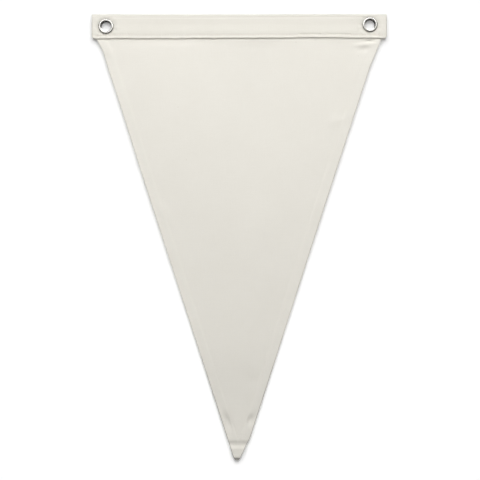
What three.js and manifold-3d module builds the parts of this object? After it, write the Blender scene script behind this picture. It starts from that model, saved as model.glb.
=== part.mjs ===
// Pennant flag of natural cotton canvas, hanging face on by the two eyelets in its heading.
// Millimetres, +Z up, +X to the right of someone who looks at the face, which is towards -Y.
// The origin is the middle of the heading's top fold, on the heading's mid-plane.

import * as THREE from "three";
import { mergeVertices } from "three/addons/utils/BufferGeometryUtils.js";
import Module from "manifold-3d";

const wasm = await Module();
wasm.setup();

// Heading: a canvas strip folded lengthways over the raw top of the panel
const HEADING_LENGTH = 300;
const HEADING_HEIGHT = 23.9;
const LEAF = 1.0;
const LEAF_HALF_GAP = 0.25;
const LEAF_LOFT = 0.25;
const STITCH_RISE = 3.7;
const STITCH_DEPTH = 0.25;
const EDGE_ROLL = 0.2;

// Where the heading's edges run uneven: down is how much lower that stretch hangs
const TOP_UNEVEN = [
  { name: "lift over the left eyelet", x: -130, width: 8, down: -0.2 },
  { name: "lift of the right half", x: 100, width: 50, down: -0.27 },
];
const BOTTOM_UNEVEN = [
  { name: "droop of the left end", x: -146, width: 14, down: 0.6 },
  { name: "sag of the left half", x: -85, width: 50, down: 0.25 },
  { name: "lift of the right half", x: 82, width: 28, down: -0.6 },
  { name: "droop of the right end", x: 148, width: 8, down: 0.25 },
];

// Panel: a double triangle of canvas, sewn, turned and pressed, with a blunt point
const SIDE_TOP_LEFT = -143.9;
const SIDE_TOP_RIGHT = 142.9;
const APEX_X = -0.95;
const APEX_DROP = 465.6;
const POINT_DROP = 451.6;
const POINT_TAPER = 5.5;
const PANEL_HALF = 0.8;
const SEAM_WIDTH = 9.5;
const SEAM_RISE = 0.25;
const POINT_RISE = 0.85;
const POINT_DENT_DROP = 434.5;
const EDGE_ROUND = 1.1;
const LEFT_PINCH = 1.4;
const RIGHT_FLARE = 3.0;

// Tongue: the top of the panel, held between the leaves of the heading
const TONGUE_HALF = 0.6;
const TONGUE_TOP_DROP = 18.4;
const TONGUE_CLEARANCE = 1.7;

// Eyelets: rolled brass, pressed through the heading, each with a flat washer behind
const EYELETS = [
  { side: "left", x: -134.8, drop: 12.2 },
  { side: "right", x: 132.2, drop: 10.4 },
];
const RIM_RADIUS = 7.9;
const BARREL_OUTSIDE = 5.75;
const BARREL_INSIDE = 5.0;
const WASHER_THICKNESS = 0.8;
const BACK_LIP = 0.45;
const TURNS = 32;
const GAP = 0.3;
const SEAT = LEAF_HALF_GAP + LEAF;

// Soft ridges and troughs of the panel: rise is towards the face, along and across are half
// lengths, turn is in degrees from level
const FOLDS = [
  { name: "ridge under the right eyelet", x: 126, drop: 30, along: 10, across: 2.6, turn: 5, rise: 0.8 },
  { name: "trough under that ridge", x: 125, drop: 34.6, along: 10, across: 2.9, turn: 7, rise: -0.8 },
  { name: "dip beside the trough", x: 96, drop: 34, along: 22, across: 9, turn: 0, rise: -0.5 },
  { name: "pinch under the left eyelet", x: -134, drop: 36, along: 9, across: 5, turn: -55, rise: 0.6 },
  { name: "crease at the right seam", x: 101, drop: 107, along: 13, across: 4.5, turn: 14, rise: 0.7 },
  { name: "pucker at the left seam", x: -76, drop: 200, along: 11, across: 5, turn: -60, rise: 0.8 },
  { name: "dimple above the point", x: 12, drop: 371, along: 8, across: 6, turn: 20, rise: -0.6 },
  { name: "hollow by the left seam", x: -13, drop: 404, along: 8.5, across: 3.5, turn: -65, rise: -1.0 },
  { name: "hollow by the right seam", x: 12, drop: 405, along: 7, across: 3.5, turn: 50, rise: -1.0 },
  { name: "billow on the left", x: -52, drop: 115, along: 95, across: 46, turn: -72, rise: 1.5 },
  { name: "billow on the right", x: 48, drop: 190, along: 110, across: 38, turn: 66, rise: 1.2 },
  { name: "sag between the billows", x: 10, drop: 80, along: 80, across: 34, turn: 82, rise: -1.0 },
  { name: "lean of the lower half", x: 0, drop: 330, along: 120, across: 75, turn: 0, rise: -1.3 },
];

// A ramp from 0 to 1 with soft ends.
function ramp(value, from, to) {
  return THREE.MathUtils.smoothstep((value - from) / (to - from), 0, 1);
}

function bell(offset, width) {
  return Math.exp(-((offset / width) ** 2));
}

// The two edges of the heading, as heights below the level of its top fold
function uneven(stretches, x) {
  return stretches.reduce((sum, s) => sum + s.down * bell(x - s.x, s.width), 0);
}

function topDrop(x) {
  return uneven(TOP_UNEVEN, x);
}

function bottomDrop(x) {
  return HEADING_HEIGHT + uneven(BOTTOM_UNEVEN, x);
}

// 1 under and close round an eyelet's rim, 0 away from both
function pressed(x, drop) {
  const nearest = Math.min(...EYELETS.map((e) => Math.hypot(x - e.x, drop - e.drop)));
  return 1 - ramp(nearest, RIM_RADIUS + 0.6, RIM_RADIUS + 5);
}

// The tongue's raw edge, which is trimmed clear of the eyelets
function tongueDrop(x) {
  return EYELETS.reduce((drop, e) => {
    const trim = e.drop + RIM_RADIUS + TONGUE_CLEARANCE - TONGUE_TOP_DROP;
    return drop + trim * bell(x - e.x, 11);
  }, TONGUE_TOP_DROP);
}

// How far each leaf of the heading stands off its mid-plane, on its inside
function leafInside(x, drop) {
  const edge = tongueDrop(x);
  const spread = TONGUE_HALF + GAP - LEAF_HALF_GAP;
  return LEAF_HALF_GAP + spread * ramp(drop, edge - 1.2, edge - GAP);
}

// The same on its outside: lofted between the eyelets, drawn in by the stitching, rolled at the edge
function leafOutside(x, drop) {
  const rise = bottomDrop(x) - drop;
  const loft = LEAF_LOFT * (1 - pressed(x, drop));
  const stitched = STITCH_DEPTH * bell(rise - STITCH_RISE, 0.9);
  const rolled = EDGE_ROLL * bell(rise - 1.5, 1.1);
  return leafInside(x, drop) + LEAF + loft - stitched + rolled;
}

// The heading's slight bow, out of its plane, which leaves both eyelets flat
function bow(x) {
  const [left, right] = EYELETS.map((e) => e.x);
  const along = THREE.MathUtils.clamp((x - left) / (right - left), 0, 1);
  return 0.5 * Math.sin(2 * Math.PI * along) * Math.sin(Math.PI * along);
}

// A solid from two grids of points of one size, the outer and the inner side of a sheet
function sheetSolid(outer, inner) {
  const rows = outer.length;
  const columns = outer[0].length;
  const points = [...outer.flat(), ...inner.flat()];
  const triangles = [];
  const at = (side, i, j) => side * rows * columns + i * columns + j;
  const quad = (a, b, c, d) => triangles.push(a, b, c, a, c, d);
  for (let i = 0; i < rows - 1; i++) {
    for (let j = 0; j < columns - 1; j++) {
      quad(at(0, i, j), at(0, i + 1, j), at(0, i + 1, j + 1), at(0, i, j + 1));
      quad(at(1, i, j), at(1, i, j + 1), at(1, i + 1, j + 1), at(1, i + 1, j));
    }
    quad(at(0, i, 0), at(1, i, 0), at(1, i + 1, 0), at(0, i + 1, 0));
    const last = columns - 1;
    quad(at(0, i, last), at(0, i + 1, last), at(1, i + 1, last), at(1, i, last));
  }
  for (let j = 0; j < columns - 1; j++) {
    quad(at(0, 0, j), at(0, 0, j + 1), at(1, 0, j + 1), at(1, 0, j));
    const last = rows - 1;
    quad(at(0, last, j), at(1, last, j), at(1, last, j + 1), at(0, last, j + 1));
  }
  const geometry = new THREE.BufferGeometry().setFromPoints(points);
  geometry.setIndex(triangles);
  return geometry;
}

// Even steps within each stretch of a line
function stations(start, stretches) {
  const values = [start];
  for (const stretch of stretches) {
    const from = values.at(-1);
    for (let i = 1; i <= stretch.steps; i++) {
      values.push(THREE.MathUtils.lerp(from, stretch.to, i / stretch.steps));
    }
  }
  return values;
}

function solidOf(geometry) {
  const bare = geometry.clone();
  bare.deleteAttribute("normal");
  bare.deleteAttribute("uv");
  const merged = mergeVertices(bare, 1e-4);
  return new wasm.Manifold(
    new wasm.Mesh({
      numProp: 3,
      vertProperties: new Float32Array(merged.attributes.position.array),
      triVerts: new Uint32Array(merged.index.array),
    }),
  );
}

function geometryOf(solid) {
  const mesh = solid.getMesh();
  const geometry = new THREE.BufferGeometry();
  geometry.setAttribute("position", new THREE.BufferAttribute(mesh.vertProperties, 3));
  geometry.setIndex(new THREE.BufferAttribute(mesh.triVerts, 1));
  return geometry.toNonIndexed();
}

// Folded strip: up the front leaf, over the top fold and down the back leaf
function headingGeometry() {
  const across = stations(-HEADING_LENGTH / 2, [
    { to: -118, steps: 11 },
    { to: 118, steps: 17 },
    { to: HEADING_LENGTH / 2, steps: 11 },
  ]);
  const leafRises = [0, 0.5, 1.5, 2.4, 3.1, STITCH_RISE, 4.4, 5.1, 5.8, 6.6, 7.6, 10, 15, 20.5];
  const foldAngles = [20, 48, 72, 90, 108, 132, 160];
  const side = (offset, reach) =>
    across.map((x) => {
      const end = HEADING_LENGTH / 2 - Math.abs(x);
      const endRound = 1 - 0.3 * (1 - ramp(end, -0.01, 1.6));
      const leafPoint = (rise, face) => {
        const drop = bottomDrop(x) - rise;
        const edgeRound = rise === 0 ? 0.25 * reach : 0;
        return new THREE.Vector3(x, bow(x) - face * (offset(x, drop) * endRound - edgeRound), -drop);
      };
      const foldPoint = (angle) => {
        const a = THREE.MathUtils.degToRad(angle);
        const foldDrop = bottomDrop(x) - leafRises.at(-1);
        const radius = offset(x, foldDrop) * endRound;
        const height = foldDrop - topDrop(x) - (1 - reach) * LEAF;
        return new THREE.Vector3(x, bow(x) - radius * Math.cos(a), -foldDrop + height * Math.sin(a));
      };
      return [
        ...leafRises.map((rise) => leafPoint(rise, 1)),
        ...foldAngles.map(foldPoint),
        ...leafRises.map((rise) => leafPoint(rise, -1)).reverse(),
      ];
    });
  const strip = solidOf(sheetSolid(side(leafOutside, 1), side(leafInside, 0)));
  const holes = EYELETS.map((e) => {
    const punch = new THREE.CylinderGeometry(BARREL_OUTSIDE + GAP, BARREL_OUTSIDE + GAP, 12, TURNS);
    return solidOf(punch.translate(e.x, 0, -e.drop));
  });
  return geometryOf(holes.reduce((solid, hole) => solid.subtract(hole), strip));
}

// The side edges: straight to the point, pinched at the left corner and flared at the right
function sideLeft(drop) {
  const straight = THREE.MathUtils.mapLinear(drop, HEADING_HEIGHT, APEX_DROP, SIDE_TOP_LEFT, APEX_X);
  return straight + LEFT_PINCH * (1 - ramp(drop, 28, 62));
}

function sideRight(drop) {
  const straight = THREE.MathUtils.mapLinear(drop, HEADING_HEIGHT, APEX_DROP, SIDE_TOP_RIGHT, APEX_X);
  return straight + RIGHT_FLARE * (1 - ramp(drop, 12, 60));
}

// 1 above the point, falling to 0 at its blunt end
function pointTaper(drop) {
  const into = Math.max(drop - (POINT_DROP - POINT_TAPER), 0) / POINT_TAPER;
  return Math.max(1 - into ** 3, 0) ** 0.5;
}

// Half the panel's thickness: fuller over the seam allowances, fullest in the turned point
function halfThickness(fromEdge, drop) {
  const seam = SEAM_RISE * (1 - ramp(fromEdge, SEAM_WIDTH - 1, SEAM_WIDTH + 3));
  const point = POINT_RISE * ramp(drop, POINT_DENT_DROP, POINT_DENT_DROP + 5);
  const dent = 0.25 * bell(drop - POINT_DENT_DROP + 1, 2.2);
  const loose = PANEL_HALF + seam + point - dent;
  const heldIn = 1 - ramp(drop, 25.2, 27);
  return THREE.MathUtils.lerp(loose, TONGUE_HALF, heldIn);
}

// The mid-surface: the heading's bow at the top, with the folds below it
function panelRise(x, drop) {
  const loose = ramp(drop, 25, 34);
  return FOLDS.reduce((rise, fold) => {
    const turn = THREE.MathUtils.degToRad(fold.turn);
    const dx = x - fold.x;
    const dz = fold.drop - drop;
    const along = dx * Math.cos(turn) + dz * Math.sin(turn);
    const across = dz * Math.cos(turn) - dx * Math.sin(turn);
    const held = fold.across > 20 ? loose : ramp(drop, 24.8, 27);
    return rise + held * fold.rise * bell(along, fold.along) * bell(across, fold.across);
  }, -bow(x) * (1 - ramp(drop, 30, 120)));
}

// Points from one side edge to the middle: round the rim first, then ever further apart
function edgeSamples(half) {
  const round = Math.min(EDGE_ROUND, half * 0.4);
  const rim = [25, 58, 90].map((angle) => {
    const a = THREE.MathUtils.degToRad(angle);
    return { fromEdge: round * (1 - Math.cos(a)), fullness: Math.sin(a) };
  });
  const steps = 8;
  const flat = Array.from({ length: steps }, (_, k) => {
    const a = (Math.PI / 2) * ((k + 1) / steps);
    return { fromEdge: round + (half - round) * (1 - Math.cos(a)), fullness: 1 };
  });
  return [...rim, ...flat];
}

// Double triangle: a front and a back grid that meet in a rounded edge all round
function panelGeometry() {
  const outOfHeading = 24.9;
  const drops = stations(TONGUE_TOP_DROP, [
    { to: outOfHeading, steps: 2 },
    { to: 36, steps: 5 },
    { to: 66, steps: 6 },
    { to: 400, steps: 21 },
    { to: 437, steps: 9 },
    { to: POINT_DROP - POINT_TAPER, steps: 4 },
    { to: POINT_DROP - 0.25, steps: 6 },
  ]);
  const row = (drop, face) => {
    const left = sideLeft(drop);
    const right = sideRight(drop);
    const taper = pointTaper(drop);
    const middle = (left + right) / 2;
    const half = ((right - left) / 2) * taper;
    const inHeading = Math.max((outOfHeading - drop) / (outOfHeading - TONGUE_TOP_DROP), 0);
    const place = (sample, sideways) => {
      const x = middle + sideways * (half - sample.fromEdge);
      const trimmed = drop + inHeading * (tongueDrop(x) - TONGUE_TOP_DROP);
      const thick = halfThickness(sample.fromEdge, trimmed) * Math.sqrt(taper) * sample.fullness;
      return new THREE.Vector3(x, -panelRise(x, trimmed) - face * thick, -trimmed);
    };
    const samples = edgeSamples(half);
    return [
      ...samples.map((sample) => place(sample, -1)),
      ...samples.slice(0, -1).reverse().map((sample) => place(sample, 1)),
    ];
  };
  const side = (face) => drops.map((drop) => row(drop, face));
  return sheetSolid(side(1), side(-1));
}

// Turned about the eyelet's axis: rim, funnel, barrel and the lip set over the washer
function eyeletGeometry() {
  const back = SEAT + GAP + WASHER_THICKNESS + GAP;
  const profile = [
    [BARREL_OUTSIDE, SEAT + GAP],
    [7.5, SEAT + GAP],
    [RIM_RADIUS, SEAT + 0.75],
    [7.72, SEAT + 1.45],
    [7.2, SEAT + 1.95],
    [6.6, SEAT + 2.1],
    [6.0, SEAT + 1.85],
    [5.5, SEAT + 1.1],
    [5.15, SEAT],
    [BARREL_INSIDE, SEAT - 1.2],
    [BARREL_INSIDE, -back + 0.1],
    [5.2, -back - 0.3],
    [5.6, -back - BACK_LIP],
    [6.9, -back - BACK_LIP],
    [7.1, -back - BACK_LIP / 2],
    [6.9, -back],
    [BARREL_OUTSIDE, -back],
  ];
  return turned(profile);
}

function washerGeometry() {
  const front = -SEAT - GAP;
  const back = front - WASHER_THICKNESS;
  const bore = BARREL_OUTSIDE + GAP;
  return turned([
    [bore, front],
    [bore, back],
    [RIM_RADIUS - 0.3, back],
    [RIM_RADIUS, back + 0.3],
    [RIM_RADIUS, front - 0.2],
    [RIM_RADIUS - 0.2, front],
  ]);
}

// Each profile row is a radius and a height towards the face
function turned(profile) {
  const points = profile.map(([radius, height]) => new THREE.Vector2(radius, -height)).reverse();
  const geometry = new THREE.LatheGeometry([...points, points[0]], TURNS);
  return geometryOf(solidOf(geometry));
}

const canvas = () => new THREE.MeshStandardMaterial({ color: 0xe6e3d9, roughness: 0.9, metalness: 0 });
const nickel = () => new THREE.MeshStandardMaterial({ color: 0xc9c7c0, roughness: 0.25, metalness: 1 });

function piece(name, geometry, material) {
  geometry.computeVertexNormals();
  const mesh = new THREE.Mesh(geometry, material);
  mesh.name = name;
  return mesh;
}

const flag = new THREE.Group();
flag.name = "pennant_flag";
flag.add(piece("pennant_panel", panelGeometry(), canvas()));
flag.add(piece("heading", headingGeometry(), canvas()));
for (const eyelet of EYELETS) {
  const set = new THREE.Group();
  set.position.set(eyelet.x, 0, -eyelet.drop);
  set.add(piece(`eyelet_${eyelet.side}`, eyeletGeometry(), nickel()));
  set.add(piece(`washer_${eyelet.side}`, washerGeometry(), nickel()));
  flag.add(set);
}

export default flag;
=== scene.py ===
import bpy
import numpy as np
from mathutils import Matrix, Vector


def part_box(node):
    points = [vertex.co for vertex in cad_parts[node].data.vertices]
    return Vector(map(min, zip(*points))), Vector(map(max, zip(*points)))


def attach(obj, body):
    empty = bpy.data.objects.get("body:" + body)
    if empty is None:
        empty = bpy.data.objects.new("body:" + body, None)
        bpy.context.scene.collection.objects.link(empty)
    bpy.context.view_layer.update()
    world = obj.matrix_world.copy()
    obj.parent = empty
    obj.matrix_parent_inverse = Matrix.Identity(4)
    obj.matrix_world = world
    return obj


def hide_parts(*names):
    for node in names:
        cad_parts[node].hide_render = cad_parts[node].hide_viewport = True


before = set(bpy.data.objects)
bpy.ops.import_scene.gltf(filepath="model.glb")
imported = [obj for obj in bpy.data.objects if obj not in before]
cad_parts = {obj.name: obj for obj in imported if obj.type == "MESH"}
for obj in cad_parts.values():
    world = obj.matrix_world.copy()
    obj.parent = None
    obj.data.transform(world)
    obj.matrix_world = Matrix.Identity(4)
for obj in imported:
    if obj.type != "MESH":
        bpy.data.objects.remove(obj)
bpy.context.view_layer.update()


# Camera: level and square on to the face, from as far off as the eyelets' depth shows.
# The picture is 480 x 480 pixels, and each of them is about a millimetre of the flag.
PIXEL = 0.0010125
PICTURE_PIXELS = 480
ORIGIN_COLUMN = 238.75
ORIGIN_ROW = 14.1
CAMERA_AWAY = 1.3

camera_data = bpy.data.cameras.new("camera")
camera_data.sensor_width = 36
camera_data.lens = camera_data.sensor_width * CAMERA_AWAY / (PICTURE_PIXELS * PIXEL)
camera = bpy.data.objects.new("camera", camera_data)
camera.location = (
    ((PICTURE_PIXELS - 1) / 2 - ORIGIN_COLUMN) * PIXEL,
    -CAMERA_AWAY,
    (ORIGIN_ROW - (PICTURE_PIXELS - 1) / 2) * PIXEL,
)
camera.rotation_euler = (np.pi / 2, 0, 0)
bpy.context.scene.collection.objects.link(camera)
bpy.context.scene.camera = camera


# Panel: two triangles of unbleached canvas sewn face to face down both sides, turned right
# side out and pressed. Its turned seams are four plies thick, its point a small hard bundle,
# and its raw top goes up between the leaves of the heading.
SIDE_TOP_DROP = 0.0239
SIDE_TOP_LEFT = -0.1439
SIDE_TOP_RIGHT = 0.1429
APEX_X = -0.00095
APEX_DROP = 0.4656
POINT_DROP = 0.4516
POINT_TAPER = 0.0046
EYELET_CENTRES = [(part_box(node)[0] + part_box(node)[1]) / 2 for node in ("eyelet_left", "eyelet_right")]
RIM_RADIUS = (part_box("eyelet_left")[1][0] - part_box("eyelet_left")[0][0]) / 2

# How far each side leaves its straight line, and the two drops between which that fades.
LEFT_PINCH = (0.0010, 0.0280, 0.0620)
LEFT_FLARE = (0.0025, 0.0235, 0.0400)
RIGHT_FLARE = (0.0030, 0.0120, 0.0600)
RIGHT_HOLLOW = (0.0010, 0.1800, 0.4000)
RIGHT_DRAWS = [(0.0016, 0.4280, 0.4380), (0.0016, 0.4370, 0.4500)]
LEFT_SET_IN = 0.00049
LEFT_HOLLOW = 0.0007
LEFT_HOLLOW_DROP = 0.090
LEFT_HOLLOW_HALF = 0.045

# The raw top edge inside the heading, and the drops between which the heading lets go.
TONGUE_TOP_DROP = 0.0184
TONGUE_END_DROP = 0.0249
TONGUE_HALF = 0.0006
TONGUE_CLEARANCE = 0.0009
TONGUE_TRIM_HALF = 0.011
HEADING_GRIP = (0.0252, 0.0270)
BOW_RISE = 0.0005
BOW_FADE = (0.030, 0.120)

# Thickness: the plies, the seams' allowances, and the point's bundle, dent and tucked end.
PLY_PAIR_HALF = 0.00068
EDGE_ROUND = 0.0011
SEAM_WIDTH = 0.0095
SEAM_RISE = 0.00030
SEAM_STEP = (SEAM_WIDTH - 0.0008, SEAM_WIDTH + 0.0016)
POINT_RISE = 0.00100
POINT_DENT = 0.00068
POINT_DENT_DROP = 0.4321
POINT_DENT_START = (POINT_DENT_DROP - 0.0014, POINT_DENT_DROP + 0.0016)
POINT_DENT_STOP = (POINT_DENT_DROP + 0.0036, POINT_DENT_DROP + 0.0078)
BUNDLE_START = (POINT_DENT_DROP + 0.0034, POINT_DENT_DROP + 0.0078)
POINT_LIP_DROP = 0.4486
POINT_TUCK = 0.0013
POINT_TUCK_START = (POINT_LIP_DROP - 0.0005, POINT_LIP_DROP + 0.0007)
BUNDLE_RIDGE_RISE = 0.00022
BUNDLE_RIDGE_LENGTH = 0.00062

# The seams' ripples: length over two pi, share of the rise, and shift from side to side.
SEAM_RIPPLES = [(0.00135, 1.0, 2.1), (0.00213, 0.8, 4.0), (0.0037, 0.6, 1.3)]
SEAM_RIPPLE_RISE = 0.000055
SEAM_RIPPLE_REACH = 0.0065
SEAM_RIPPLE_START = (0.027, 0.045)

# The drops between which folds start below the heading: narrow creases closer to it than billows.
CREASE_HELD = (0.0245, 0.0258)
BILLOW_HELD = (0.025, 0.034)
BILLOW_HALF_WIDTH = 0.02

# x, drop, half length along, half width across, turn from level in degrees, rise towards the face
PANEL_FOLDS = {
    "dip under the right eyelet": (0.1315, 0.0270, 0.0045, 0.0011, 0, -0.00160),
    "ridge below that dip": (0.1270, 0.0307, 0.0085, 0.0021, 5, 0.00085),
    "trough below that ridge": (0.1262, 0.0356, 0.0065, 0.0027, 7, -0.00070),
    "dip beside the trough": (0.096, 0.0340, 0.022, 0.0090, 0, -0.00035),
    "pinch under the left eyelet": (-0.134, 0.0360, 0.009, 0.0050, -55, 0.0006),
    "crease at the right seam": (0.101, 0.1070, 0.013, 0.0045, 14, 0.0007),
    "pucker at the left seam": (-0.076, 0.2000, 0.011, 0.0050, -60, 0.0008),
    "dimple above the point": (0.012, 0.3710, 0.008, 0.0060, 20, -0.0006),
    "hollow by the left seam": (-0.0122, 0.4115, 0.0085, 0.0036, -65, -0.0018),
    "hollow by the right seam": (0.0121, 0.4100, 0.0062, 0.0036, 57, -0.0018),
    "billow on the left": (-0.052, 0.1150, 0.095, 0.0460, -72, 0.0015),
    "billow on the right": (0.048, 0.1900, 0.110, 0.0380, 66, 0.0012),
    "sag between the billows": (0.010, 0.0800, 0.080, 0.0340, 82, -0.0010),
    "lean of the lower half": (0.000, 0.3300, 0.120, 0.0750, 0, -0.0013),
}

# Wear and painted shade: edges greyer by both, more painted shade low down, painted shade on the tuck, in
# the dent and in the hollows, and a faint darker band above the point.
EDGE_WEAR_AND_SHADE = 0.8
LOW_EDGE_SHADE = 1.9
LOW_EDGE_START = (0.32, 0.41)
EDGE_WEAR_AND_SHADE_REACH = 0.0008
# Painted shadow on the point's tucked end, under the bundle's lip.
TUCK_SHADOW = 3.3
TUCK_SHADOW_START = (POINT_LIP_DROP - 0.0004, POINT_LIP_DROP + 0.0004)
# Painted shade in the dent above the point's bundle.
DENT_SHADE = 0.65
DENT_SHADE_DROP = POINT_DENT_DROP + 0.0012
DENT_SHADE_REACH = 0.0022
# A faint darker band across the panel above the point.
LOWER_BAND_DARKENING = 0.3
LOWER_BAND_DROP = 0.372
LOWER_BAND_REACH = 0.035
# Painted shade in the two hollows by the seams.
HOLLOW_SHADE = 0.30

# Rows: the drop at which each stretch starts, and how many rows it has, down to the point's taper.
PANEL_STRETCHES = [(TONGUE_TOP_DROP, 5), (TONGUE_END_DROP, 51), (0.066, 169), (0.400, 27), (0.430, 35)]
POINT_ROWS = 18
POINT_ROW_GAP = 0.00004

# Columns: the angles round the turned edge, which takes this share of a narrow half row at most,
# and those on to the middle, which are this much evenly spaced and for the rest closer to the edge.
EDGE_ANGLES = [-52, -35, -15, 8, 32, 58, 90]
EDGE_SHARE = 0.45
FLAT_COLUMNS = 59
EVEN_SHARE = 0.45


def ramp(value, start, stop):
    """A soft step: 0 up to start, 1 from stop on, and three t squared less two t cubed between."""
    t = np.clip((value - start) / (stop - start), 0, 1)
    return t * t * (3 - 2 * t)


def bell(offset, width):
    """e to the power of minus the square of offset over width."""
    return np.exp(-((offset / width) ** 2))


def heading_bow(x):
    """The heading's bow out of its plane: a double wave that is flat at and beyond both eyelets."""
    left, right = EYELET_CENTRES[0][0], EYELET_CENTRES[1][0]
    along = np.clip((x - left) / (right - left), 0, 1)
    return BOW_RISE * np.sin(2 * np.pi * along) * np.sin(np.pi * along)


def side_line(top, drop):
    """The straight line from the side's top to the apex, in proportion to the drop."""
    return top + (APEX_X - top) * (drop - SIDE_TOP_DROP) / (APEX_DROP - SIDE_TOP_DROP)


def faded(drop, stretch):
    """The stretch's reach, times one less the ramp between its two drops."""
    reach, start, stop = stretch
    return reach * (1 - ramp(drop, start, stop))


def side_left(drop):
    """A straight line to the apex, a little hollow in its upper part, pinched in under the heading
    and flared out again at its very top."""
    hollow = LEFT_SET_IN + LEFT_HOLLOW * bell(drop - LEFT_HOLLOW_DROP, LEFT_HOLLOW_HALF)
    return side_line(SIDE_TOP_LEFT, drop) + hollow + faded(drop, LEFT_PINCH) - faded(drop, LEFT_FLARE)


def side_right(drop):
    """A straight line to the apex, a little hollow down to its middle, flared out under the heading
    and drawn in twice beside the bundle in the point."""
    line = side_line(SIDE_TOP_RIGHT, drop) + faded(drop, RIGHT_FLARE) - faded(drop, RIGHT_HOLLOW)
    return line - sum(reach * ramp(drop, start, stop) for reach, start, stop in RIGHT_DRAWS)


def point_taper(drop):
    """1 above the point; below, the root of (1 - t cubed), with t from 0 to 1 at the blunt end."""
    into = np.clip((drop - POINT_DROP + POINT_TAPER) / POINT_TAPER, 0, 1)
    return (1 - into**3) ** 0.5


def tongue_drop(x):
    """The raw top edge: level, and trimmed down in a bell under each eyelet's rim."""
    drop = np.full_like(x, TONGUE_TOP_DROP)
    for centre in EYELET_CENTRES:
        trim = -centre[2] + RIM_RADIUS + TONGUE_CLEARANCE - TONGUE_TOP_DROP
        drop = drop + trim * bell(x - centre[0], TONGUE_TRIM_HALF)
    return drop


def fold_shape(x, drop, fold):
    """A fold's share at each point: a bell along it times a bell across it, turned to its slant."""
    fold_x, fold_drop, along_half, across_half, turn, _ = fold
    turned = np.radians(turn)
    dx, dz = x - fold_x, fold_drop - drop
    along = dx * np.cos(turned) + dz * np.sin(turned)
    across = dz * np.cos(turned) - dx * np.sin(turned)
    return bell(along, along_half) * bell(across, across_half)


def panel_rise(x, drop):
    """The heading's bow fading out downwards, plus every fold's share times its rise, which ramps
    up from nothing under the heading."""
    rise = -heading_bow(x) * (1 - ramp(drop, *BOW_FADE))
    for fold in PANEL_FOLDS.values():
        held = BILLOW_HELD if fold[3] > BILLOW_HALF_WIDTH else CREASE_HELD
        rise += ramp(drop, *held) * fold[-1] * fold_shape(x, drop, fold)
    return rise


def panel_fullness(from_edge, x, drop):
    """Half thickness: two plies, plus the seam allowances by the sides, plus the bundle in the point,
    less the dent above it and the last fold tucked under at its end, all drawn in to the tongue
    where the heading holds the panel. Each comes in by a ramp."""
    seam = SEAM_RISE * (1 - ramp(from_edge, *SEAM_STEP))
    bundle = POINT_RISE * ramp(drop, *BUNDLE_START)
    dent = POINT_DENT * ramp(drop, *POINT_DENT_START) * (1 - ramp(drop, *POINT_DENT_STOP))
    tuck = POINT_TUCK * ramp(drop, *POINT_TUCK_START)
    loose = PLY_PAIR_HALF + seam + bundle - dent - tuck
    held = 1 - ramp(drop, *HEADING_GRIP)
    return loose + held * (TONGUE_HALF - loose)


def seam_ripple(from_edge, drop, side):
    """Small puckers that the seam's stitching draws up: three sines along the side, fading inwards."""
    wave = sum(share * np.sin(drop / length + shift * side) for length, share, shift in SEAM_RIPPLES)
    return SEAM_RIPPLE_RISE * wave * bell(from_edge, SEAM_RIPPLE_REACH) * ramp(drop, *SEAM_RIPPLE_START)


def bundle_ridges(x, drop):
    """Ridges that run down the bundle in the point: a sine across it, strongest near the end."""
    down = ramp(drop, POINT_DENT_DROP + 0.004, POINT_DROP - 0.004)
    return BUNDLE_RIDGE_RISE * down * np.sin((x - APEX_X) / BUNDLE_RIDGE_LENGTH + 0.8)


def panel_wear_and_shade(from_edge, x, drop):
    """A sum of bells and ramps: wear and painted shade on the pressed edges, more painted shade on them
    low down, painted shade on the tuck and in the dent in the point, a faint darker band above them, and
    painted shade in the two hollows by the seams."""
    wear_and_shade = (EDGE_WEAR_AND_SHADE + LOW_EDGE_SHADE * ramp(drop, *LOW_EDGE_START)) * bell(from_edge, EDGE_WEAR_AND_SHADE_REACH)
    wear_and_shade = wear_and_shade + TUCK_SHADOW * ramp(drop, *TUCK_SHADOW_START)
    wear_and_shade = wear_and_shade + DENT_SHADE * bell(drop - DENT_SHADE_DROP, DENT_SHADE_REACH)
    wear_and_shade = wear_and_shade + LOWER_BAND_DARKENING * bell(drop - LOWER_BAND_DROP, LOWER_BAND_REACH)
    for hollow in ("hollow by the left seam", "hollow by the right seam"):
        wear_and_shade = wear_and_shade + HOLLOW_SHADE * fold_shape(x, drop, PANEL_FOLDS[hollow])
    return wear_and_shade


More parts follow.
